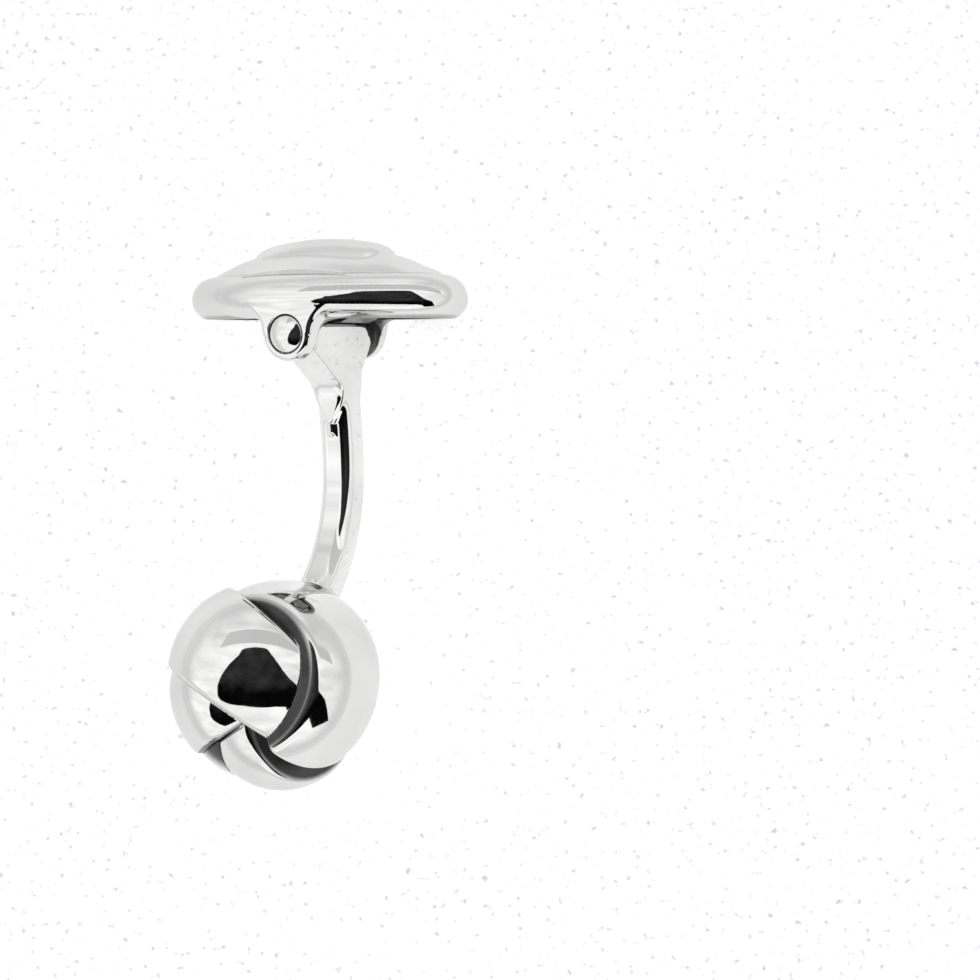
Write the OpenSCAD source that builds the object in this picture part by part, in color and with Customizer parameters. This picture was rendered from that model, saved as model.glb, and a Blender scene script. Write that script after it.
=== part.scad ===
// Knot cufflink with a swivel toggle. Millimetres.
// Link frame: pin centre at the origin, +Y along the pin, +X along the toggle,
// +Z from the knot to the toggle. lay() then lays the link down on the table.

/* [Knot] */
// greatest radius over a lobe
knot_r = 6.52; // [6:0.02:8]
// radius of one crowned lobe
lobe_r = 4.55; // [4:0.05:6]
// strap thickness
strap_t = 1.05; // [0.7:0.05:1.5]
// reference radius for the strap edges
edge_r = 6.05; // [5.8:0.05:7]
// turn of the knot about the post, view frame to link frame
knot_turn = [75.3, 1.06, 32.9];

/* [Post] */
// shank size along the toggle
shank_x = 2.35; // [1.8:0.05:2.8]
// shank size across
shank_y = 2.35; // [1.8:0.05:2.8]
// shank corner radius
shank_c = 0.75; // [0.3:0.05:1]
// bend radius above the waist
bend_up = 23.5; // [18:0.2:40]
// bend radius below the waist
bend_low = 9.71; // [8:0.01:20]
// waist offset from the pin line
waist_y = 1.75; // [0:0.01:2]
// waist height
waist_z = -8.8; // [-10:0.1:-5]
// angle swept below the waist
bend_a = 49.45; // [30:0.05:60]
// T head half width
head_w = 3.75; // [3:0.05:4]
// T head thickness
head_t = 2.4; // [1.6:0.05:2.8]
// T head top above the pin
head_top = 0.7; // [0.5:0.05:0.9]

// height of the foot over the ball
foot_h = 0.25; // [0.1:0.05:0.6]

/* [Toggle] */
// half length of the rim
rim_a = 9.3; // [8:0.1:11]
// half width of the rim
rim_b = 5.1; // [4.5:0.05:6]
// end arc radius of the rim
rim_r1 = 3.75; // [3:0.1:5]
// radius of the rim over its widest line
bead = 1.5; // [1:0.05:1.8]
// radius of the rim under its widest line
bead_low = 1.2; // [1:0.05:1.4]
// height of the widest line
bead_z = 2.1; // [1.8:0.05:2.4]
// underside of the rim
rim_low = 0.95; // [0.85:0.05:1.2]
// rim wall from outside to the well
rim_wall = 2.0; // [1.4:0.05:2.4]
// lower tier half length
tier1_a = 7.63; // [6:0.01:8]
// upper tier half length
tier2_a = 4.8; // [4:0.01:6]
// top of lower tier
tier1_z = 4.85; // [4:0.05:5.5]
// top of the toggle
top_z = 5.9; // [5:0.05:7]
// ear outer radius
ear_r = 1.6; // [1.3:0.05:2]
// inner face of the ears
ear_in = 3.85; // [3.7:0.05:4.5]
// outer face of the ears
ear_out = 4.9; // [4.8:0.05:5.6]
// ear fillet
ear_f = 1.2; // [0.4:0.05:2]

/* [Pin and spring] */
// pin radius
pin_r = 0.4; // [0.4:0.02:0.8]
// running clearance in the T head
pin_gap = 0.04; // [0.01:0.01:0.1]
// pin head radius
pin_head = 1.1; // [0.9:0.05:1.4]
// spring thickness
leaf_t = 0.25; // [0.15:0.05:0.4]
// spring half width
leaf_w = 1.8; // [1:0.1:2.1]
// spring half length
leaf_l = 5.6; // [4.5:0.1:6]

/* [Hidden] */
$fn = 72;
e = 0.01;
rim_z = bead_z + bead;
rim_cx = rim_a - rim_r1;
rim_r2 = (rim_cx*rim_cx + rim_b*rim_b - rim_r1*rim_r1) / (2*(rim_b - rim_r1));
rim_cy = rim_r2 - rim_b;
rim_ang = atan2(rim_cx, rim_cy);
end_y = waist_y - bend_low + bend_low*cos(bend_a);
end_z = waist_z - bend_low*sin(bend_a);
seat = knot_r + foot_h;
knot_c = [0, end_y - seat*sin(bend_a), end_z - seat*cos(bend_a)];
lay_turn = [-75.285, -21.381, -5.636];
lay_move = [-0.0059, 11.0072, 5.2546];
silver = [0.86, 0.86, 0.87];
// lobes of the ball, x right, y up, z to the viewer: middle direction, then the two strap edges as normal and distance, then the crown radius and the plane where it ends where these are others
FRONT = [
  [[-0.67, 0.53, 0.52], [0.684, 0.729, -0.019], 0.392, [-0.579, -0.815, -0.025], 0.445, 5.4],
  [[0.72, 0.25, 0.65], [-0.555, 0.067, 0.829], 0.629, [0.531, -0.138, -0.836], 0.317, 5.9, [-0.693, -0.368, -0.62], -1.27],
  [[-0.88, -0.45, 0.10], [0.502, -0.86, 0.086], 0.232, [-0.502, 0.86, -0.086], 0.62],
  [[0.30, -0.93, -0.22], [0.60, 0.027, 0.80], 0.331, [-0.60, -0.027, -0.80], 0.60]];
BACK = [
  [[0.50, 0.80, -0.35], [-0.09, 0.17, 0.98], 0.50, [0.09, -0.17, -0.98], 0.75],
  [[0.85, -0.10, -0.52], [0.40, 0.60, 0.70], 0.45, [-0.40, -0.60, -0.70], 0.45],
  [[-0.75, 0.45, -0.50], [0.55, 0.82, -0.10], 0.45, [-0.55, -0.82, 0.10], 0.45],
  [[-0.35, -0.62, -0.70], [0.80, -0.60, 0.10], 0.45, [-0.80, 0.60, -0.10], 0.45],
  [[0.10, 0.10, -0.99], [0.70, 0.70, 0.10], 0.45, [-0.70, -0.70, -0.10], 0.45]];

module lay() { translate(lay_move) rotate(lay_turn) children(); }

// upright drawing in the Y-Z plane pushed along X
module yz(t) { rotate([90, 0, 90]) translate([0, 0, -t/2]) linear_extrude(t) children(); }

module rounded(w, h, r) {
  square([w - 2*r, h], center = true);
  square([w, h - 2*r], center = true);
  for (x = [-1, 1], y = [-1, 1]) translate([x*(w/2 - r), y*(h/2 - r)]) circle(r);
}

// arc of the shank: centre line radius r, from angle a0 over da, centre at [y, z]
module bend(r, a0, da, y, z, less = 0) {
  translate([0, y, z]) rotate([90, 0, 90]) rotate([0, 0, a0])
    rotate_extrude(angle = da, $fn = 180) translate([r, 0]) rounded(shank_y - less, shank_x - less, shank_c);
}

function unit(v) = v / norm(v);

// centre of the circle that rounds an inside corner at p between u and v, and how far along them it starts
function inner_c(p, u, v, r) = p + unit(u + v) * (r / sin(acos(u*v) / 2));
function inner_t(u, v, r) = r / tan(acos(u*v) / 2);

// T head seen along X, y to the right and z up
module head_shape() {
  p1 = [-0.05, -3.2];
  p2 = [2.3, -2.4];
  u1 = unit([-head_w + 0.35, -0.8] - p1);
  u2 = unit([head_w - 0.35, -0.8] - p2);
  dn = unit([0.04, -1]);
  difference() {
    union() {
      polygon([[-head_w, -0.45], [-head_w, head_top - 0.5], [-head_w + 0.5, head_top], [head_w - 0.5, head_top],
        [head_w, head_top - 0.5], [head_w, -0.45], [head_w - 0.35, -0.8], p2 + u2*inner_t(u2, dn, 1.2), p2 + dn*inner_t(u2, dn, 1.2),
        [1.2, -4.8], p1 + dn*inner_t(u1, dn, 1.6), p1 + u1*inner_t(u1, dn, 1.6), [-head_w + 0.35, -0.8]]);
      for (s = [-1, 1]) {
        translate([s*(head_w - 0.5), head_top - 0.5]) circle(0.5);
        translate([s*(head_w - 0.5), -0.45]) circle(0.5);
      }
    }
    translate(inner_c(p1, u1, dn, 1.6)) circle(1.62);
    translate(inner_c(p2, u2, dn, 1.2)) circle(1.22);
  }
}

module post() {
  color(silver) lay() difference() {
    union() {
      yz(head_t) head_shape();
      bend(bend_up, 0, 15.5, waist_y - bend_up, waist_z);
      bend(bend_low, -bend_a, bend_a + 2, waist_y - bend_low, waist_z, 0.04);
    }
    rotate([90, 0, 0]) cylinder(r = pin_r + pin_gap, h = 12, center = true);
  }
}

module at_knot() { translate(knot_c) rotate(knot_turn) children(); }

// low collar between the post and the ball, its underside follows the lobes
module post_foot() {
  color(silver) lay() difference() {
    translate([0, end_y, end_z]) rotate([180 - bend_a, 0, 0]) cylinder(r = 1.5, h = foot_h + 0.7);
    at_knot() translate(unit(BACK[0][0])*(knot_r - lobe_r)) sphere(lobe_r, $fn = 240);
  }
}

// half space: points p with p.n < d
module half(n, d) {
  l = norm(n);
  rotate([0, acos(n[2]/l), atan2(n[1], n[0])]) translate([-15, -15, d - 30]) cube(30);
}

// one crowned lobe of the strap, filled or with its hollow
module lobe(l, hollow) {
  u = unit(l[0]);
  r = len(l) > 5 ? l[5] : lobe_r;
  c = knot_r - r;
  difference() {
    intersection() {
      translate(u*c) sphere(r);
      half(l[1], l[2]*edge_r);
      half(l[3], l[4]*edge_r);
      half(len(l) > 6 ? l[6] : -u, len(l) > 7 ? l[7] : 0.1);
    }
    if (hollow) translate(u*c) sphere(r - strap_t);
  }
}

module knot_front() {
  color(silver) lay() at_knot() for (l = FRONT) lobe(l, true);
}

module knot_back() {
  color(silver) lay() at_knot() difference() {
    for (l = BACK) lobe(l, true);
    for (l = FRONT) lobe(l, false);
  }
}

// four-arc oval plan with the rim profile of children, drawn at x = distance from arc centre
module oval_sweep() {
  for (s = [0, 180]) rotate([0, 0, s]) {
    translate([rim_cx, 0, 0]) rotate([0, 0, -(90 - rim_ang)]) rotate_extrude(angle = 2*(90 - rim_ang), $fn = 120) translate([rim_r1, 0]) children();
    translate([0, -rim_cy, 0]) rotate([0, 0, 90 - rim_ang]) rotate_extrude(angle = 2*rim_ang, $fn = 300) translate([rim_r2, 0]) children();
  }
}

module rim_profile() {
  intersection() {
    translate([-bead, bead_z]) circle(bead, $fn = 96);
    translate([-rim_wall, bead_z]) square([rim_wall, bead]);
  }
  translate([-rim_wall, bead_z - e]) square([rim_wall - bead, bead + e]);
  intersection() {
    translate([-bead_low, bead_z]) circle(bead_low, $fn = 96);
    translate([-rim_wall, rim_low]) square([rim_wall, bead_z - rim_low]);
  }
  translate([-rim_wall, rim_low]) square([rim_wall - bead_low, bead_z - rim_low]);
}

module ear_shape() {
  circle(ear_r);
  translate([-ear_r, 0]) square([2*ear_r, bead_z]);
  difference() {
    translate([-ear_r - ear_f, 0.1]) square([2*(ear_r + ear_f), bead_z - 0.1]);
    for (s = [-1, 1]) translate([s*(ear_r + ear_f), 0.1]) circle(ear_f);
  }
}

module toggle_frame() {
  color(silver) lay() difference() {
    union() {
      oval_sweep() rim_profile();
      for (s = [-1, 1]) intersection() {
        translate([0, s*(ear_in + ear_out)/2, 0]) rotate([90, 0, 0]) translate([0, 0, -(ear_out - ear_in)/2]) linear_extrude(ear_out - ear_in) ear_shape();
        translate([0, -s*rim_cy, -3]) cylinder(r = rim_r2, h = 8, $fn = 360);
      }
      for (s = [-1, 1]) intersection() {
        translate([s*rim_cx, 0, rim_low + 0.15]) cylinder(r = rim_r1 - 1, h = 1.75, $fn = 120);
        translate([s*(rim_cx + 1.4), 0, 1.9]) cube([3.4, 8, 3], center = true);
      }
    }
    rotate([90, 0, 0]) cylinder(r = norm([head_t/2, head_top]) + 0.08, h = 2*ear_in, center = true);
    rotate([90, 0, 0]) cylinder(r = pin_r + e, h = 14, center = true);
    for (s = [-1, 1]) translate([0, s*ear_out, 0]) rotate([90, 0, 0]) cylinder(r = pin_head + 0.1, h = 0.5, center = true);
    for (s = [-1, 1]) translate([s*(leaf_l - 0.3), 0, 1]) cube([0.7, 2*leaf_w + 0.1, 2.2], center = true);
  }
}

// barrel with its apex at height z, curved with radius rx along X and ry along Y
module barrel(rx, ry, z) {
  translate([0, 0, z - rx]) rotate([90, 0, 0]) rotate_extrude($fn = 360) translate([rx - ry, 0]) circle(ry, $fn = 120);
}

function cap_r(a, h) = (a*a + h*h) / (2*h);

// barrel cap: a along X, b along Y, from height z0 up to z1
module cap(a, b, z0, z1) {
  intersection() {
    barrel(cap_r(a, z1 - z0), cap_r(b, z1 - z0), z1);
    translate([-12, -6, z0]) cube([24, 12, 4]);
  }
}

// stepped dome over the rim
module toggle_dome() {
  color(silver) lay() difference() {
    union() {
      cap(tier1_a, 3.43, rim_z, tier1_z + 0.37);
      cap(tier2_a, 2.2, tier1_z - 0.25, top_z);
    }
    translate([0, 0, -0.01]) cap(6.9, 2.8, rim_z, rim_z + 0.87);
  }
}

module pivot_pin() {
  color(silver) lay() {
    rotate([90, 0, 0]) cylinder(r = pin_r, h = 2*(ear_out - 0.2), center = true);
    for (s = [0, 180]) rotate([0, 0, s]) {
      translate([0, ear_out + 0.05, 0]) rotate([90, 0, 0]) cylinder(r = pin_head, h = 0.25);
      intersection() {
        translate([0, ear_out + 0.05 + 0.22 - 3.4, 0]) sphere(3.4);
        translate([0, ear_out + 0.05 - e, 0]) rotate([-90, 0, 0]) cylinder(r = pin_head, h = 1);
      }
    }
  }
}

module leaf_spring() {
  z0 = head_top + 0.03;
  z1 = z0 + 0.55;
  right = [[2, z0], [3.2, z1], [leaf_l, z1], [leaf_l, z1 + 0.6], [leaf_l - leaf_t, z1 + 0.6], [leaf_l - leaf_t, z1 + leaf_t], [3.1, z1 + leaf_t], [1.9, z0 + leaf_t]];
  left = [for (i = [7:-1:0]) [-right[i][0], right[i][1]]];
  color([0.62, 0.62, 0.64]) lay() rotate([90, 0, 0]) translate([0, 0, -leaf_w]) linear_extrude(2*leaf_w) polygon(concat(right, left));
}

post();
post_foot();
knot_front();
knot_back();
toggle_frame();
toggle_dome();
pivot_pin();
leaf_spring();
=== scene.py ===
import math

import bpy
import numpy as np
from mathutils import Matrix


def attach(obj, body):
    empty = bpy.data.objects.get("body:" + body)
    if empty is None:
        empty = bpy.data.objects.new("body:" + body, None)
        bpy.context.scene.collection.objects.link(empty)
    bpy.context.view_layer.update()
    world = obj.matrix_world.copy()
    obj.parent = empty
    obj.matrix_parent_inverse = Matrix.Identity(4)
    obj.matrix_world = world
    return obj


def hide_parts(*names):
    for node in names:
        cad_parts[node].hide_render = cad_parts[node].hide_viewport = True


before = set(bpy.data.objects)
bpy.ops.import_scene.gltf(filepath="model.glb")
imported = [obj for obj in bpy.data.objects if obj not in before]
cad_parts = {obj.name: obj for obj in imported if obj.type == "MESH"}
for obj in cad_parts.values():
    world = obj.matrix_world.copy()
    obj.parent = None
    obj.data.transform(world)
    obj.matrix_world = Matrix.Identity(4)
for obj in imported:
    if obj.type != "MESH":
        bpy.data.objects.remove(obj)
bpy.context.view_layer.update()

import openvdb as vdb
from mathutils import Matrix, Vector

MM = 0.001

# ---------------------------------------------------------------- dimensions, mm, link frame of the part
LAY_TURN = (-75.285, -21.381, -5.636)
LAY_MOVE = np.array([-0.0059, 11.0072, 5.2546])
KNOT_R, LOBE_R, STRAP_T, EDGE_R = 6.52, 4.55, 1.05, 6.05
KNOT_TURN = (75.3, 1.06, 32.9)
SHANK_X, SHANK_Y, SHANK_C = 2.35, 2.35, 0.75
BEND_UP, BEND_LOW, WAIST_Y, WAIST_Z, BEND_A = 23.5, 9.71, 1.75, -8.8, 49.45
FOOT_H = 0.25
HEAD_W, HEAD_T, HEAD_TOP = 3.75, 2.4, 0.7
RIM_A, RIM_B, RIM_R1 = 9.3, 5.1, 3.75
BEAD, BEAD_LOW, BEAD_Z, RIM_LOW, RIM_WALL = 1.5, 1.2, 2.1, 0.95, 2.0
TIER1_A, TIER2_A, TIER1_Z, TOP_Z = 7.63, 4.8, 4.85, 5.9
EAR_R, EAR_IN, EAR_OUT = 1.6, 3.85, 4.9
PIN_HEAD = 1.1
CAM_ROT = ((0.99969, 0.0, 0.02499), (0.00312, 0.99215, -0.12501), (-0.0248, 0.12505, 0.99184))
CAM_POS = (12.172, -8.762, 84.375)

A = math.radians(BEND_A)
END = np.array([0, WAIST_Y - BEND_LOW + BEND_LOW * math.cos(A), WAIST_Z - BEND_LOW * math.sin(A)])
SEAT = KNOT_R + FOOT_H
KNOT_C = END + SEAT * np.array([0, -math.sin(A), -math.cos(A)])
RIM_Z = BEAD_Z + BEAD
RIM_CX = RIM_A - RIM_R1
RIM_R2 = (RIM_CX ** 2 + RIM_B ** 2 - RIM_R1 ** 2) / (2 * (RIM_B - RIM_R1))
RIM_CY = RIM_R2 - RIM_B
RIM_ANG = math.atan2(RIM_CX, RIM_CY)

# middle direction, then the two strap edges as normal and distance
FRONT = [
    ((-0.67, 0.53, 0.52), (0.684, 0.729, -0.019), 0.392, (-0.579, -0.815, -0.025), 0.445, 5.4),
    ((0.72, 0.25, 0.65), (-0.555, 0.067, 0.829), 0.629, (0.531, -0.138, -0.836), 0.317, 5.9, (-0.693, -0.368, -0.62), -1.27),
    ((-0.88, -0.45, 0.10), (0.502, -0.86, 0.086), 0.232, (-0.502, 0.86, -0.086), 0.62),
    ((0.30, -0.93, -0.22), (0.60, 0.027, 0.80), 0.331, (-0.60, -0.027, -0.80), 0.60),
]
BACK = [
    ((0.50, 0.80, -0.35), (-0.09, 0.17, 0.98), 0.50, (0.09, -0.17, -0.98), 0.75),
    ((0.85, -0.10, -0.52), (0.40, 0.60, 0.70), 0.45, (-0.40, -0.60, -0.70), 0.45),
    ((-0.75, 0.45, -0.50), (0.55, 0.82, -0.10), 0.45, (-0.55, -0.82, 0.10), 0.45),
    ((-0.35, -0.62, -0.70), (0.80, -0.60, 0.10), 0.45, (-0.80, 0.60, -0.10), 0.45),
    ((0.10, 0.10, -0.99), (0.70, 0.70, 0.10), 0.45, (-0.70, -0.70, -0.10), 0.45),
]


def turn(abc):
    a, b, c = (math.radians(v) for v in abc)
    rx = np.array([[1, 0, 0], [0, math.cos(a), -math.sin(a)], [0, math.sin(a), math.cos(a)]])
    ry = np.array([[math.cos(b), 0, math.sin(b)], [0, 1, 0], [-math.sin(b), 0, math.cos(b)]])
    rz = np.array([[math.cos(c), -math.sin(c), 0], [math.sin(c), math.cos(c), 0], [0, 0, 1]])
    return rz @ ry @ rx


LAY = turn(LAY_TURN)
KNOT = turn(KNOT_TURN)


def unit(v):
    v = np.asarray(v, float)
    return v / np.linalg.norm(v)


# ---------------------------------------------------------------- distance fields
def smin(a, b, k):
    h = np.maximum(k - np.abs(a - b), 0)
    return np.minimum(a, b) - h * h / (4 * k)


def smax(a, b, k):
    return -smin(-a, -b, k)


def length(*v):
    s = v[0] * v[0]
    for w in v[1:]:
        s = s + w * w
    return np.sqrt(s)


class Table:
    """Distance to a closed outline, on a fine grid, for sweeping it."""

    def __init__(self, pts, lo, hi, step=0.02, grow=0.0):
        p = np.array(pts, float)
        self.lo, self.step = np.array(lo, float), step
        self.n = [int(math.ceil((hi[i] - lo[i]) / step)) + 1 for i in (0, 1)]
        u = lo[0] + step * np.arange(self.n[0])
        v = lo[1] + step * np.arange(self.n[1])
        U, V = np.meshgrid(u, v, indexing="ij")
        d = np.full(U.shape, 1e9)
        inside = np.zeros(U.shape, bool)
        for i in range(len(p)):
            a, b = p[i - 1], p[i]
            e = b - a
            if e @ e < 1e-12:
                continue
            t = np.clip(((U - a[0]) * e[0] + (V - a[1]) * e[1]) / (e @ e), 0, 1)
            d = np.minimum(d, np.hypot(U - a[0] - t * e[0], V - a[1] - t * e[1]))
            c = ((a[1] > V) != (b[1] > V)) & (U < (b[0] - a[0]) * (V - a[1]) / (b[1] - a[1] + 1e-30) + a[0])
            inside ^= c
        self.d = np.where(inside, -d, d) - grow

    def __call__(self, u, v):
        x = np.clip((u - self.lo[0]) / self.step, 0, self.n[0] - 1.001)
        y = np.clip((v - self.lo[1]) / self.step, 0, self.n[1] - 1.001)
        i, j = x.astype(int), y.astype(int)
        x, y = x - i, y - j
        d = self.d
        return (d[i, j] * (1 - x) + d[i + 1, j] * x) * (1 - y) + (d[i, j + 1] * (1 - x) + d[i + 1, j + 1] * x) * y


def arc(c, r, a0, a1, n=12):
    return [(c[0] + r * math.cos(math.radians(a0 + (a1 - a0) * i / n)), c[1] + r * math.sin(math.radians(a0 + (a1 - a0) * i / n))) for i in range(n + 1)]


def round_corner(p, a, b, r, n=10):
    """Points that round the corner p between its neighbours a and b."""
    p, a, b = (np.array(v, float) for v in (p, a, b))
    u, v = unit(a - p), unit(b - p)
    h = math.acos(np.clip(u @ v, -1, 1)) / 2
    t = r / math.tan(h)
    c = p + unit(u + v) * (r / math.sin(h))
    s, e = p + u * t - c, p + v * t - c
    out = []
    for i in range(n + 1):
        w = s * (1 - i / n) + e * (i / n)
        out.append(tuple(c + unit(w) * r))
    return out


def rounded_outline(pts, radii):
    out = []
    n = len(pts)
    for i in range(n):
        out += round_corner(pts[i], pts[i - 1], pts[(i + 1) % n], radii[i]) if radii[i] else [pts[i]]
    return out


# T head, seen along X
HEAD = rounded_outline(
    [(-HEAD_W, HEAD_TOP), (-HEAD_W, -0.72), (-0.05, -3.25), (0.15, -6.2), (1.95, -6.2), (2.3, -2.45), (3.44, -0.83), (HEAD_W, -0.5), (HEAD_W, HEAD_TOP)],
    [0.5, 0.45, 1.6, 0, 0, 1.2, 0.3, 0.3, 0.7],
)
T_HEAD = Table(HEAD, (-5, -7), (5, 2))
RIM = Table(
    [(-RIM_WALL, RIM_LOW), (-BEAD_LOW + 0.32, RIM_LOW)]
    + [q for q in arc((-BEAD_LOW, BEAD_Z), BEAD_LOW, -90, 0, 24) if q[1] > RIM_LOW and q[0] > -BEAD_LOW + 0.33]
    + arc((-BEAD, BEAD_Z), BEAD, 0, 90, 24)
    + [(-RIM_WALL, RIM_Z)],
    (-5, -2), (4, 6), 0.02,
)


def lobe(q, l, k, hollow=True):
    u = unit(l[0])
    rr = l[5] if len(l) > 5 else LOBE_R
    c = u * (KNOT_R - rr)
    r = length(q[0] - c[0], q[1] - c[1], q[2] - c[2])
    f = r - rr
    for n, d in ((l[1], l[2]), (l[3], l[4])):
        n, s = unit(n), 1 / np.linalg.norm(n)
        f = smax(f, q[0] * n[0] + q[1] * n[1] + q[2] * n[2] - d * EDGE_R * s, k)
    n, d = (unit(l[6]), l[7]) if len(l) > 6 else (-u, 0.1)
    f = smax(f, q[0] * n[0] + q[1] * n[1] + q[2] * n[2] - d, k if len(l) > 6 else 0.16)
    if hollow:
        f = smax(f, (rr - STRAP_T) - r, 0.05)
    return f


def to_knot(p):
    q = (p - KNOT_C) @ KNOT
    return q[:, 0], q[:, 1], q[:, 2]


def flank(q):
    """The left lobe's outer flank lies a little flatter than its crown."""
    return length(q[0] - 0.25, q[1] - 0.25, q[2]) - 6.4


def f_front(p):
    q = to_knot(p)
    f = None
    for i, l in enumerate(FRONT):
        g = lobe(q, l, 0.30)
        if i == 2:
            g = smax(g, flank(q), 0.5)
        f = g if f is None else smin(f, g, 0.06)
    return f


def f_back(p):
    q = to_knot(p)
    f = None
    for l in BACK:
        g = lobe(q, l, 0.30)
        f = g if f is None else smin(f, g, 0.06)
    for l in FRONT:
        f = smax(f, -0.03 - lobe(q, l, 0.30, False), 0.02)
    return f


def f_post(p):
    x, y, z = p[:, 0], p[:, 1], p[:, 2]
    r = np.where(z > WAIST_Z, BEND_UP, BEND_LOW)
    rho = np.hypot(y - (WAIST_Y - r), z - WAIST_Z) - r
    a, b = np.abs(x) - (SHANK_X / 2 - SHANK_C), np.abs(rho) - (SHANK_Y / 2 - SHANK_C)
    f = np.hypot(np.maximum(a, 0), np.maximum(b, 0)) + np.minimum(np.maximum(a, b), 0) - SHANK_C
    f = smax(f, (p - END) @ np.array([0, -math.sin(A), -math.cos(A)]) - 0.3, 0.05)
    f = smax(f, z + 2.2, 0.6)
    d = T_HEAD(y, z)
    # the plate's flat sides draw in where they run out into the shank
    half = HEAD_T / 2 - np.clip((-3.0 - z) / 2.6, 0, 1) ** 1.5 * 1.2
    g = smax(d, np.abs(x) - half, 0.28)
    f = smin(f, g, 0.5)
    return smax(f, 0.44 - np.hypot(x, z), 0.03)


def oval(x, y):
    x, y = np.abs(x), np.abs(y)
    big = np.arctan2(x, y + RIM_CY) < RIM_ANG
    return np.where(big, np.hypot(x, y + RIM_CY) - RIM_R2, np.hypot(x - RIM_CX, y) - RIM_R1)


def f_frame(p):
    x, y, z = p[:, 0], p[:, 1], p[:, 2]
    f = RIM(oval(x, y), z)
    ay = np.abs(y)
    e = np.hypot(x, z) - EAR_R
    e = smin(e, np.maximum(np.abs(x) - EAR_R, np.abs(z - 0.55) - 0.55), 0.3)
    e = smax(e, ay - (EAR_OUT - 0.5 * np.clip(z - 0.2, 0, 1.5) ** 2), 0.35)
    e = smax(e, EAR_IN - ay, 0.15)
    f = smin(f, e, 1.3)
    inner = smax(np.hypot(x, z) - 1.73, ay - EAR_IN, 0.05)
    f = smax(f, -inner, 0.05)
    f = smax(f, oval_well(x, y, z), 0.05)
    rec = smax(np.hypot(x, z) - (PIN_HEAD + 0.07), 4.66 - ay, 0.03)
    return smax(f, -rec, 0.06)


def oval_well(x, y, z):
    """Keeps the blend of the ears out of the well."""
    return -smax(oval(x, y) + RIM_WALL, np.abs(z - 1.5) - 2.4, 0.05)


def f_dome(p):
    x, y, z = np.abs(p[:, 0]), np.abs(p[:, 1]), p[:, 2]

    def tier(rx, ry, top, swell, a, full=0.0):
        """A cap swept along X, fuller toward its ends by the swell and at its shoulders."""
        yy = np.minimum(y, ry * 0.985)
        h = top - (rx - np.sqrt(np.maximum(rx * rx - x * x, 0.01))) - (ry - np.sqrt(ry * ry - yy * yy)) + swell * (x / a) ** 4
        h += full * np.exp(-((x - 5.0) / 1.5) ** 2)
        gx = x / np.sqrt(np.maximum(rx * rx - x * x, 0.01)) - 4 * swell * x ** 3 / a ** 4
        gy = yy / np.sqrt(ry * ry - yy * yy)
        return (z - h) / np.sqrt(1 + gx * gx + gy * gy)

    f = smax(tier(18.8, 4.44, TIER1_Z + 0.37, 0.16, 7.63, 0.19), np.hypot(x - 3, y * 0.4) - 4.63, 0.35)
    g = smax(tier(18.0, 2.51, TOP_Z, 0.0, 4.8), x - 4.76, 1.2)
    f = smin(f, g, 0.12)
    f = smax(f, 3.2 - z, 0.02)
    return smax(f, -(length(x / 6.6, y / 2.7, (z - 3.0) / 1.5) - 1) * 1.5, 0.05)


def f_pin(p):
    x, y, z = p[:, 0], p[:, 1], p[:, 2]
    ay = np.abs(y)
    r = np.hypot(x, z)
    top = EAR_OUT + 0.24
    cap = smax(r - PIN_HEAD, length(r, ay - (top - 2.3)) - 2.3, 0.08)
    cap = smax(cap, 4.7 - ay, 0.05)
    return np.minimum(cap, smax(r - 0.4, ay - 4.75, 0.02))


def recess_shade_front(p):
    """How far a point of the front lobes is down a strap's side: the mask of painted shade there."""
    q = to_knot(p)
    best = np.full(len(p), 9.0)
    for l in FRONT:
        u, rr = unit(l[0]), (l[5] if len(l) > 5 else LOBE_R)
        r = length(*(q[i] - u[i] * (KNOT_R - rr) for i in range(3)))
        s = np.abs(r - rr) + np.maximum(np.abs(lobe(q, l, 0.30)) - 0.02, 0) * 50
        best = np.minimum(best, s)
    # the left lobe's flattened flank is kept out of the painted shade
    l = FRONT[2]
    side = np.maximum(*(sum(q[i] * n[i] for i in range(3)) / np.linalg.norm(n) - d * EDGE_R / np.linalg.norm(n) for n, d in ((l[1], l[2]), (l[3], l[4]))))
    r = length(*(q[i] - unit(l[0])[i] * (KNOT_R - LOBE_R) for i in range(3)))
    left = (np.abs(smax(lobe(q, l, 0.30), flank(q), 0.5)) < 0.06) & (flank(q) > -0.64) & (r > LOBE_R - 0.62) & (side < -0.12)
    best = np.where(left, 0, best)
    return np.clip((best - 0.06) / 0.22, 0, 1)


# Painted shade on the back lobes: the strap sides, and all that lies deeper than about 5.75 mm from the knot's centre,
# are darkened.
def recess_shade_back(p):
    q = to_knot(p)
    best = np.full(len(p), 9.0)
    for l in BACK:
        u = unit(l[0])
        r = length(*(q[i] - u[i] * (KNOT_R - LOBE_R) for i in range(3)))
        s = np.abs(r - LOBE_R) + np.maximum(np.abs(lobe(q, l, 0.30)) - 0.02, 0) * 50
        best = np.minimum(best, s)
    # painted shade deep inside the ball
    low = np.clip((5.75 - length(*q)) / 0.35, 0, 1)
    return np.maximum(np.clip((best - 0.06) / 0.22, 0, 1), low)


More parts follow.
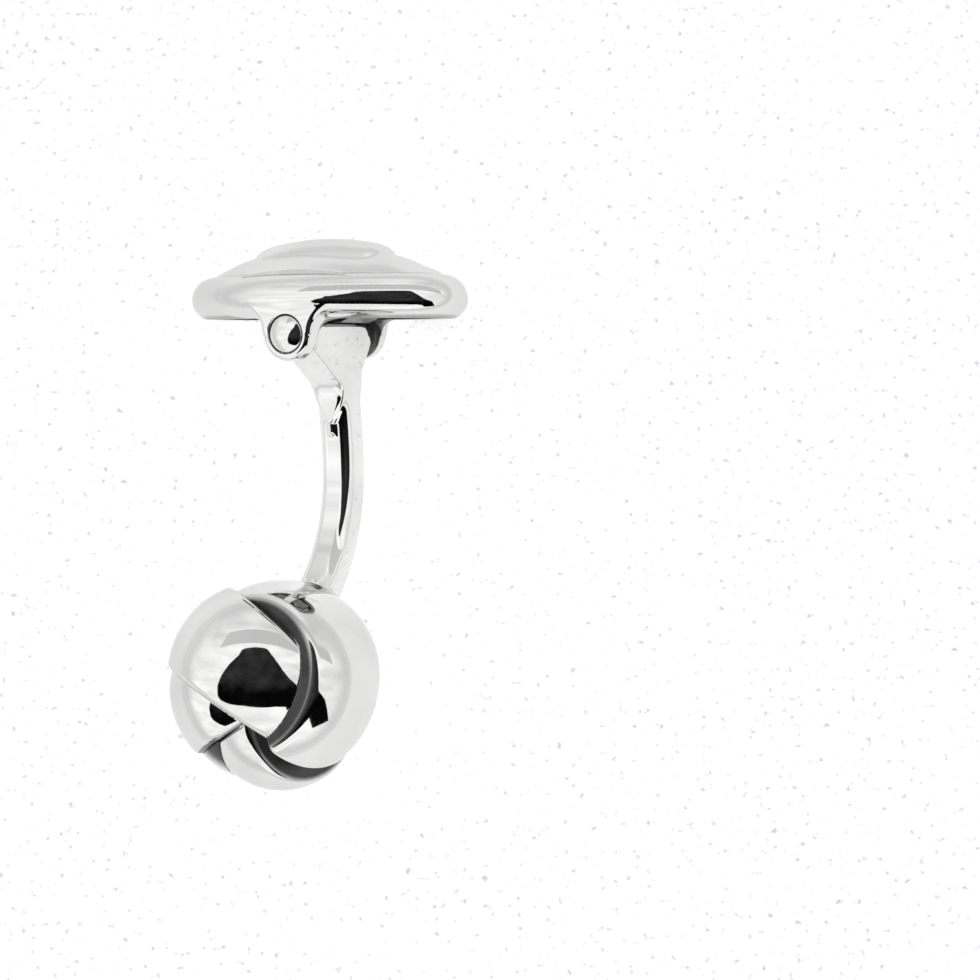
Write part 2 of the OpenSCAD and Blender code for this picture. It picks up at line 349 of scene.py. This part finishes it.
# Painted shade on the frame: the inside of the well, the inner faces of the ears low down, and the ring round the pin
# head.
def recess_shade_frame(p):
    x, y, z = p[:, 0], p[:, 1], p[:, 2]
    well = np.clip((-1.05 - oval(x, y)) / 0.4, 0, 1)
    ears = np.clip((EAR_IN + 0.14 - np.abs(y)) / 0.12, 0, 1) * np.clip((1.2 - z) / 0.3, 0, 1)
    ring = np.clip((np.abs(y) - EAR_OUT + 0.35) / 0.1, 0, 1) * np.clip((PIN_HEAD + 0.16 - np.hypot(x, z)) / 0.04, 0, 1) * np.clip((EAR_OUT - 0.05 - np.abs(y)) / 0.05, 0, 1)
    # painted shade: the ring is darker toward its top (+z) than at its bottom
    ring *= 0.2 + 0.8 * np.clip(z / PIN_HEAD * 0.9 + 0.25, 0, 1)
    return np.maximum(np.maximum(well, ears) * 0.85, ring)


def solid(name, f, lo, hi, h, recess_shade=None):
    """Meshes the zero surface of f, pulls its points onto it and takes the normals from f."""
    lo, hi = np.array(lo, float), np.array(hi, float)
    n = np.ceil((hi - lo) / h).astype(int) + 1
    gx, gy, gz = (lo[i] + h * np.arange(n[i]) for i in range(3))
    val = np.empty(tuple(n), np.float32)
    YY, ZZ = np.meshgrid(gy, gz, indexing="ij")
    flat = np.stack([np.zeros(YY.size), YY.ravel(), ZZ.ravel()], 1)
    for i in range(n[0]):
        flat[:, 0] = gx[i]
        val[i] = f(flat).reshape(n[1], n[2])
    grid = vdb.FloatGrid(background=1.0)
    grid.copyFromArray(np.ascontiguousarray(np.clip(val, -1, 1)))
    pts, tris, quads = grid.convertToPolygons(isovalue=0.0, adaptivity=0.0)
    p = np.array(pts, float) * h + lo

    def grad(q, e=0.004):
        g = np.empty_like(q)
        for i in range(3):
            d = np.zeros(3)
            d[i] = e
            g[:, i] = (f(q + d) - f(q - d)) / (2 * e)
        return g

    for _ in range(3):
        v = f(p)
        g = grad(p)
        g2 = np.maximum((g * g).sum(1), 0.05)
        step = g * (v / g2)[:, None]
        m = np.linalg.norm(step, axis=1)
        step *= np.minimum(1, 0.6 * h / np.maximum(m, 1e-9))[:, None]
        p = p - step
    g = grad(p, 0.012)
    nrm = g / np.maximum(np.linalg.norm(g, axis=1), 1e-9)[:, None]
    faces = [tuple(int(i) for i in q) for q in quads] + [tuple(int(i) for i in t) for t in tris]
    q = np.array(quads[: min(len(quads), 4000)])
    fn = np.cross(p[q[:, 2]] - p[q[:, 0]], p[q[:, 3]] - p[q[:, 1]])
    if (fn * nrm[q[:, 0]]).sum() < 0:
        faces = [t[::-1] for t in faces]
    w = (p @ LAY.T + LAY_MOVE) * MM
    wn = nrm @ LAY.T
    me = bpy.data.meshes.new(name)
    me.from_pydata(w.tolist(), [], faces)
    me.update()
    me.polygons.foreach_set("use_smooth", [True] * len(me.polygons))
    me.normals_split_custom_set_from_vertices(wn.tolist())
    # the painted shade mask, stored on the points for the silver material
    shade_layer = me.attributes.new("recess_shade", "FLOAT", "POINT")
    shade_layer.data.foreach_set("value", (recess_shade(p) if recess_shade else np.zeros(len(p))).astype(np.float32))
    ob = bpy.data.objects.new(name, me)
    bpy.context.scene.collection.objects.link(ob)
    return ob


# ---------------------------------------------------------------- camera
scene = bpy.context.scene
cam = bpy.data.cameras.new("camera")
camera = bpy.data.objects.new("camera", cam)
scene.collection.objects.link(camera)
scene.camera = camera
cam.sensor_width = 36
cam.lens = 36 * 1300 / 980
cam.clip_start, cam.clip_end = 0.002, 20
cam.dof.use_dof = False
m = Matrix([list(r) for r in CAM_ROT]).to_4x4()
m.translation = Vector(CAM_POS) * MM
camera.matrix_world = m


# ---------------------------------------------------------------- materials
def material(name):
    mt = bpy.data.materials.new(name)
    mt.use_nodes = True
    nt = mt.node_tree
    return mt, nt, nt.nodes["Principled BSDF"], nt.nodes.new, nt.links.new


def silver(name="silver_polished", rough=0.04, base=(0.77, 0.77, 0.766)):
    mt, nt, b, new, link = material(name)
    b.inputs["Specular Tint"].default_value = (0.85, 0.85, 0.85, 1)
    tc = new("ShaderNodeTexCoord")
    tone = new("ShaderNodeTexNoise")
    tone.inputs["Scale"].default_value = 230
    tone.inputs["Detail"].default_value = 4
    link(tc.outputs["Object"], tone.inputs["Vector"])
    ramp = new("ShaderNodeValToRGB")
    ramp.color_ramp.elements[0].position = 0.3
    ramp.color_ramp.elements[0].color = (base[0] * 0.87, base[1] * 0.87, base[2] * 0.87, 1)
    ramp.color_ramp.elements[1].position = 0.7
    ramp.color_ramp.elements[1].color = (*base, 1)
    link(tone.outputs["Fac"], ramp.inputs["Fac"])
    # painted shade: where the mesh marks a recess or a strap side, the colour turns near black, less metallic and
    # rougher, standing in for the shade there
    at = new("ShaderNodeAttribute")
    at.attribute_name = "recess_shade"
    # noise mottles the painted shade a little
    shade_mottle = new("ShaderNodeTexNoise")
    shade_mottle.inputs["Scale"].default_value = 700
    shade_mottle.inputs["Detail"].default_value = 4
    link(tc.outputs["Object"], shade_mottle.inputs["Vector"])
    edge = new("ShaderNodeMapRange")
    edge.inputs["From Min"].default_value = 0.25
    edge.inputs["From Max"].default_value = 0.75
    edge.inputs["To Min"].default_value = 0.9
    edge.inputs["To Max"].default_value = 1.0
    link(shade_mottle.outputs["Fac"], edge.inputs["Value"])
    mul = new("ShaderNodeMath")
    mul.operation = "MULTIPLY"
    link(at.outputs["Fac"], mul.inputs[0])
    link(edge.outputs["Result"], mul.inputs[1])
    mix = new("ShaderNodeMix")
    mix.data_type = "RGBA"
    # painted shade colour: near black
    mix.inputs["B"].default_value = (0.035, 0.034, 0.033, 1)
    link(mul.outputs[0], mix.inputs["Factor"])
    link(ramp.outputs["Color"], mix.inputs["A"])
    link(mix.outputs["Result"], b.inputs["Base Color"])
    shade_metallic = new("ShaderNodeMapRange")
    shade_metallic.inputs["To Min"].default_value = 1.0
    shade_metallic.inputs["To Max"].default_value = 0.25
    link(mul.outputs[0], shade_metallic.inputs["Value"])
    link(shade_metallic.outputs["Result"], b.inputs["Metallic"])
    # handling marks: fine scratches and a faint haze in the roughness
    fine = new("ShaderNodeTexNoise")
    fine.inputs["Scale"].default_value = 900
    fine.inputs["Detail"].default_value = 5
    link(tc.outputs["Object"], fine.inputs["Vector"])
    mr = new("ShaderNodeMapRange")
    mr.inputs["From Min"].default_value = 0.35
    mr.inputs["From Max"].default_value = 0.7
    mr.inputs["To Min"].default_value = rough * 0.6
    mr.inputs["To Max"].default_value = rough * 1.7
    link(fine.outputs["Fac"], mr.inputs["Value"])
    # the painted shade is also rougher
    shade_roughness = new("ShaderNodeMix")
    shade_roughness.data_type = "FLOAT"
    shade_roughness.inputs["B"].default_value = 0.34
    link(mul.outputs[0], shade_roughness.inputs["Factor"])
    link(mr.outputs["Result"], shade_roughness.inputs["A"])
    link(shade_roughness.outputs["Result"], b.inputs["Roughness"])
    sc = new("ShaderNodeTexNoise")
    sc.inputs["Scale"].default_value = 420
    sc.inputs["Detail"].default_value = 2
    link(tc.outputs["Object"], sc.inputs["Vector"])
    bump = new("ShaderNodeBump")
    bump.inputs["Strength"].default_value = 0.05
    bump.inputs["Distance"].default_value = 0.00002
    link(sc.outputs["Fac"], bump.inputs["Height"])
    link(bump.outputs["Normal"], b.inputs["Normal"])
    return mt


def spring_steel():
    mt, nt, b, new, link = material("spring_steel")
    b.inputs["Metallic"].default_value = 1.0
    tc = new("ShaderNodeTexCoord")
    mp = new("ShaderNodeMapping")
    mp.inputs["Scale"].default_value = (150, 3000, 3000)
    link(tc.outputs["Object"], mp.inputs["Vector"])
    ns = new("ShaderNodeTexNoise")
    ns.inputs["Scale"].default_value = 1
    link(mp.outputs["Vector"], ns.inputs["Vector"])
    ramp = new("ShaderNodeValToRGB")
    ramp.color_ramp.elements[0].color = (0.13, 0.13, 0.135, 1)
    ramp.color_ramp.elements[1].color = (0.24, 0.24, 0.245, 1)
    link(ns.outputs["Fac"], ramp.inputs["Fac"])
    link(ramp.outputs["Color"], b.inputs["Base Color"])
    mr = new("ShaderNodeMapRange")
    mr.inputs["To Min"].default_value = 0.22
    mr.inputs["To Max"].default_value = 0.4
    link(ns.outputs["Fac"], mr.inputs["Value"])
    link(mr.outputs["Result"], b.inputs["Roughness"])
    return mt


SILVER = silver()
STEEL = spring_steel()

# ---------------------------------------------------------------- pieces
H = 0.085
kc = KNOT_C
R = KNOT_R + 0.25
pieces = [
    ("ball_front", f_front, kc - R, kc + R, H, "knot_front", "post_body", recess_shade_front),
    ("ball_back", f_back, kc - R, kc + R, H, "knot_back", "post_body", recess_shade_back),
    ("post_body_metal", f_post, (-1.5, END[1] - 1.6, END[2] - 1.4), (1.5, 4.1, 1.1), H * 0.8, "post", "post_body", None),
    ("toggle_rim", f_frame, (-RIM_A - 0.3, -RIM_B - 0.3, -1.95), (RIM_A + 0.3, RIM_B + 0.3, RIM_Z + 0.3), H, "toggle_frame", "toggle", recess_shade_frame),
    ("toggle_top", f_dome, (-8.0, -3.9, 3.0), (8.0, 3.9, 6.1), H, "toggle_dome", "toggle", None),
    ("pin", f_pin, (-1.3, -5.4, -1.3), (1.3, 5.4, 1.3), H * 0.6, "pivot_pin", "toggle", None),
]
for name, f, lo, hi, h, node, body, recess_shade in pieces:
    ob = solid(name, f, lo, hi, h, recess_shade)
    ob.data.materials.append(SILVER)
    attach(ob, body)
    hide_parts(node)

for node, mt, slot in (("post_foot", SILVER, "silver"), ("leaf_spring", STEEL, "spring")):
    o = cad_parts[node]
    o.data.materials.clear()
    o.data.materials.append(mt)

# ---------------------------------------------------------------- floor
me = bpy.data.meshes.new("floor")
s = 0.6
me.from_pydata([(-s, -s, 0), (s, -s, 0), (s, s, 0), (-s, s, 0)], [], [(0, 1, 2, 3)])
floor = bpy.data.objects.new("floor", me)
scene.collection.objects.link(floor)
mt, nt, b, new, link = material("floor_white")
tc = new("ShaderNodeTexCoord")
ns = new("ShaderNodeTexNoise")
ns.inputs["Scale"].default_value = 2300
ns.inputs["Detail"].default_value = 2
link(tc.outputs["Object"], ns.inputs["Vector"])
ramp = new("ShaderNodeValToRGB")
ramp.color_ramp.elements[0].position = 0.27
ramp.color_ramp.elements[0].color = (0.58, 0.58, 0.58, 1)
ramp.color_ramp.elements[1].position = 0.395
ramp.color_ramp.elements[1].color = (0.90, 0.90, 0.90, 1)
link(ns.outputs["Fac"], ramp.inputs["Fac"])
# painted falloff of light: the floor's colour and glow drop to 80% between 44 and 125 mm from a point at (24, -14) mm
away = new("ShaderNodeVectorMath")
away.operation = "DISTANCE"
away.inputs[1].default_value = (0.024, -0.014, 0)
link(tc.outputs["Object"], away.inputs[0])
painted_falloff = new("ShaderNodeMapRange")
painted_falloff.interpolation_type = "SMOOTHSTEP"
painted_falloff.inputs["From Min"].default_value = 0.044
painted_falloff.inputs["From Max"].default_value = 0.125
painted_falloff.inputs["To Min"].default_value = 1.0
painted_falloff.inputs["To Max"].default_value = 0.80
link(away.outputs["Value"], painted_falloff.inputs["Value"])
dim = new("ShaderNodeMix")
dim.data_type = "RGBA"
dim.blend_type = "MULTIPLY"
dim.inputs["Factor"].default_value = 1.0
link(ramp.outputs["Color"], dim.inputs["A"])
link(painted_falloff.outputs["Result"], dim.inputs["B"])
link(dim.outputs["Result"], b.inputs["Base Color"])
link(dim.outputs["Result"], b.inputs["Emission Color"])
b.inputs["Emission Strength"].default_value = 0.825
b.inputs["Roughness"].default_value = 0.8
b.inputs["Specular IOR Level"].default_value = 0.1
me.materials.append(mt)

# ---------------------------------------------------------------- light
world = bpy.data.worlds.new("world")
scene.world = world
world.use_nodes = True
nt = world.node_tree
bg = nt.nodes["Background"]
tc = nt.nodes.new("ShaderNodeTexCoord")
new, link = nt.nodes.new, nt.links.new


def lobe_of_light(direction, lo, hi, amount):
    """Takes an amount off the brightness toward a direction, softly from lo to hi of the cosine."""
    dot = new("ShaderNodeVectorMath")
    dot.operation = "DOT_PRODUCT"
    dot.inputs[1].default_value = tuple(Vector(direction).normalized())
    link(tc.outputs["Generated"], dot.inputs[0])
    mr = new("ShaderNodeMapRange")
    mr.interpolation_type = "SMOOTHSTEP"
    mr.inputs["From Min"].default_value = lo
    mr.inputs["From Max"].default_value = hi
    mr.inputs["To Min"].default_value = 1.0
    mr.inputs["To Max"].default_value = 1.0 - amount
    link(dot.outputs["Value"], mr.inputs["Value"])
    return mr.outputs["Result"]


def times(a, b):
    m = new("ShaderNodeMath")
    m.operation = "MULTIPLY"
    link(a, m.inputs[0])
    link(b, m.inputs[1])
    return m.outputs[0]


level = lobe_of_light((-0.60, 0.78, 0.10), 0.58, 0.97, 0.22)
level = times(level, lobe_of_light((0.55, 0.80, 0.25), 0.75, 0.98, 0.25))
level = times(level, lobe_of_light((0.95, -0.25, 0.2), 0.7, 0.98, 0.18))
streak = new("ShaderNodeMapping")
streak.inputs["Scale"].default_value = (0.7, 5.0, 2.2)
link(tc.outputs["Generated"], streak.inputs["Vector"])
wn = new("ShaderNodeTexNoise")
wn.inputs["Scale"].default_value = 1.0
wn.inputs["Detail"].default_value = 2.5
link(streak.outputs["Vector"], wn.inputs["Vector"])
wr = new("ShaderNodeMapRange")
wr.inputs["From Min"].default_value = 0.38
wr.inputs["From Max"].default_value = 0.62
wr.inputs["To Min"].default_value = 0.80
wr.inputs["To Max"].default_value = 1.0
link(wn.outputs["Fac"], wr.inputs["Value"])
level = times(level, wr.outputs["Result"])
gain = new("ShaderNodeMath")
gain.operation = "MULTIPLY"
gain.inputs[1].default_value = 1.38
link(level, gain.inputs[0])
low = new("ShaderNodeSeparateXYZ")
link(tc.outputs["Generated"], low.inputs[0])
rise = new("ShaderNodeMapRange")
rise.interpolation_type = "SMOOTHSTEP"
rise.inputs["From Min"].default_value = 0.0
rise.inputs["From Max"].default_value = 0.32
link(low.outputs["Z"], rise.inputs["Value"])
blend = new("ShaderNodeMix")
blend.data_type = "FLOAT"
blend.inputs["A"].default_value = 0.84
link(rise.outputs["Result"], blend.inputs["Factor"])
link(gain.outputs[0], blend.inputs["B"])
link(blend.outputs["Result"], bg.inputs["Strength"])
bg.inputs["Color"].default_value = (1, 1, 1, 1)
world.cycles_visibility.diffuse = False


def card(name, centre, size, normal, value, up=(0, 1, 0)):
    """A flat card that only reflections see."""
    n = Vector(normal).normalized()
    x = Vector(up).cross(n).normalized()
    y = n.cross(x)
    c = Vector(centre)
    a, b2 = x * size[0], y * size[1]
    me = bpy.data.meshes.new(name)
    me.from_pydata([(c - a - b2) * MM, (c + a - b2) * MM, (c + a + b2) * MM, (c - a + b2) * MM], [], [(0, 1, 2, 3)])
    ob = bpy.data.objects.new(name, me)
    scene.collection.objects.link(ob)
    mt = bpy.data.materials.new(name)
    mt.use_nodes = True
    nt = mt.node_tree
    nt.nodes.clear()
    em = nt.nodes.new("ShaderNodeEmission")
    out = nt.nodes.new("ShaderNodeOutputMaterial")
    em.inputs["Color"].default_value = (value, value, value, 1)
    nt.links.new(em.outputs[0], out.inputs["Surface"])
    me.materials.append(mt)
    ob.visible_camera = False
    ob.visible_diffuse = False
    ob.visible_shadow = False
    return ob


CR = np.array(CAM_ROT)
CP = np.array(CAM_POS)


def at_camera(x, y, z):
    """A point given right, up and back from the camera, as world mm."""
    return tuple(CP + CR @ np.array([x, y, z]))


# the dark shape that stands over the camera, right and up of it in mm
SHAPE = [(-26, 34), (-20, 37), (0, 40), (18, 39), (24, 36), (30, 26), (53, -6), (72, -24), (94, -38), (125, -63), (178, -132),
         (246, -219), (140, -172), (104, -160), (70, -94), (40, -81), (8, -75), (-20, -70), (-49, -71), (-72, -68), (-80, -60),
         (-76, -36), (-64, -16), (-48, 4), (-31, 21), (-28, 30)]
me = bpy.data.meshes.new("card_camera")
me.from_pydata([tuple(v * MM for v in at_camera(x - 10, y + 10, 2)) for x, y in SHAPE], [], [tuple(range(len(SHAPE)))])
me.update()
black = bpy.data.objects.new("card_camera", me)
scene.collection.objects.link(black)
mt = bpy.data.materials.new("card_camera")
mt.use_nodes = True
nt = mt.node_tree
nt.nodes.clear()
em = nt.nodes.new("ShaderNodeEmission")
ctc = nt.nodes.new("ShaderNodeTexCoord")
cn = nt.nodes.new("ShaderNodeTexNoise")
cn.inputs["Scale"].default_value = 38
cn.inputs["Detail"].default_value = 3
nt.links.new(ctc.outputs["Object"], cn.inputs["Vector"])
cs = nt.nodes.new("ShaderNodeSeparateXYZ")
nt.links.new(ctc.outputs["Object"], cs.inputs[0])
cu = nt.nodes.new("ShaderNodeMapRange")
cu.inputs["From Min"].default_value = -0.065
cu.inputs["From Max"].default_value = -0.025
nt.links.new(cs.outputs["Y"], cu.inputs["Value"])
cm = nt.nodes.new("ShaderNodeMath")
cm.operation = "MULTIPLY"
nt.links.new(cn.outputs["Fac"], cm.inputs[0])
nt.links.new(cu.outputs["Result"], cm.inputs[1])
cr = nt.nodes.new("ShaderNodeValToRGB")
cr.color_ramp.elements[0].position = 0.25
cr.color_ramp.elements[0].color = (0.002, 0.002, 0.002, 1)
cr.color_ramp.elements[1].position = 0.7
cr.color_ramp.elements[1].color = (0.045, 0.045, 0.045, 1)
nt.links.new(cm.outputs[0], cr.inputs["Fac"])
nt.links.new(cr.outputs["Color"], em.inputs["Color"])
nt.links.new(em.outputs[0], nt.nodes.new("ShaderNodeOutputMaterial").inputs["Surface"])
me.materials.append(mt)
black.visible_camera = False
black.visible_diffuse = False
black.visible_shadow = False
card("card_band", at_camera(58, 96, 2.5), (162, 34), tuple(CR @ np.array([0, 0, -1.0])), 0.74, tuple(CR[:, 1]))


def sun(name, direction, strength, angle):
    """Light that the floor takes but that polished metal does not mirror."""
    ld = bpy.data.lights.new(name, "SUN")
    ld.energy = strength
    ld.angle = math.radians(angle)
    ob = bpy.data.objects.new(name, ld)
    ob.rotation_euler = Vector(direction).to_track_quat("Z", "Y").to_euler()
    ob.visible_glossy = False
    scene.collection.objects.link(ob)
    return ob


sun("sun_soft", (0.08, -0.10, 1.0), 1.05, 30)

scene.view_settings.view_transform = "Standard"
scene.view_settings.look = "None"
scene.view_settings.exposure = 0.0
